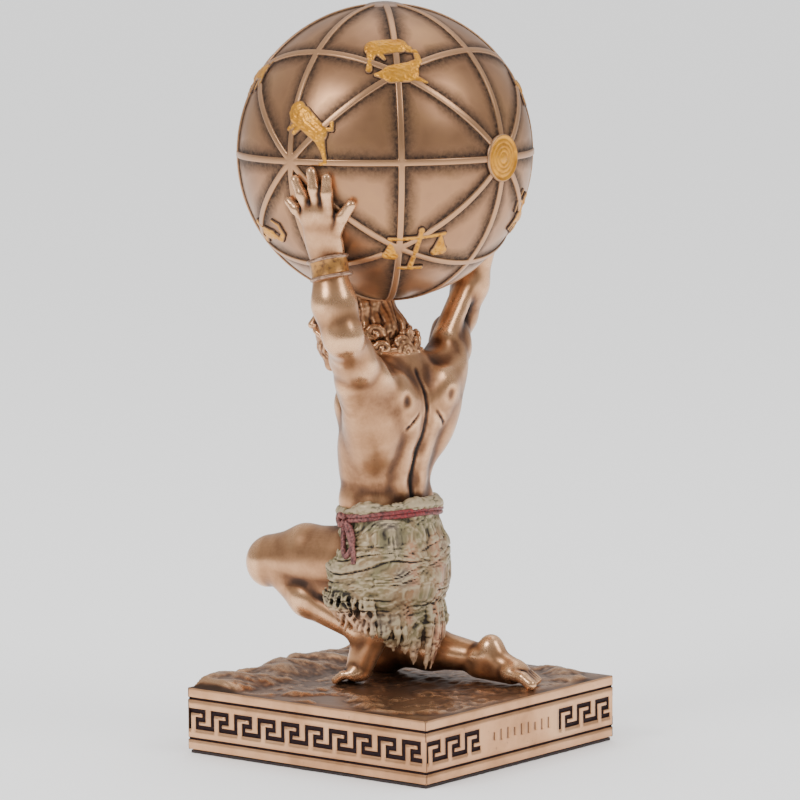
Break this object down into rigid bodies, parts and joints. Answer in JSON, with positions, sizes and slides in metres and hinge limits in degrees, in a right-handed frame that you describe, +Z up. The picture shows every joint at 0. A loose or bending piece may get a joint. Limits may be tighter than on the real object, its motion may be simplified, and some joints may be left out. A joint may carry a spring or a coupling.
{
  "type": "atlas statue",
  "caption": "Kneeling bearded Atlas in a hide loincloth holding up a ribbed celestial globe with zodiac reliefs, on a square key-patterned plinth.",
  "frame": {"origin": "centre of the underside of the felt pad", "axes": "+Z up, -Y the way the figure faces, +X the figure's left"},
  "size_m": [0.0859, 0.0873, 0.2062],
  "materials": {
    "figure_bronze": "cold-cast resin with a satin antique bronze finish; hide painted grey green, cord red, wristband gold",
    "globe_bronze": "cold-cast resin with a satin antique bronze finish; signs and discs painted gold",
    "plinth_bronze": "cold-cast resin with a lighter copper bronze finish, dark in the key",
    "pad_felt": "dark felt"
  },
  "bodies": {
    "root": {"atlas_figure": "figure_bronze", "celestial_globe": "globe_bronze", "plinth": "plinth_bronze", "felt_pad": "pad_felt"}
  },
  "joints": []
}
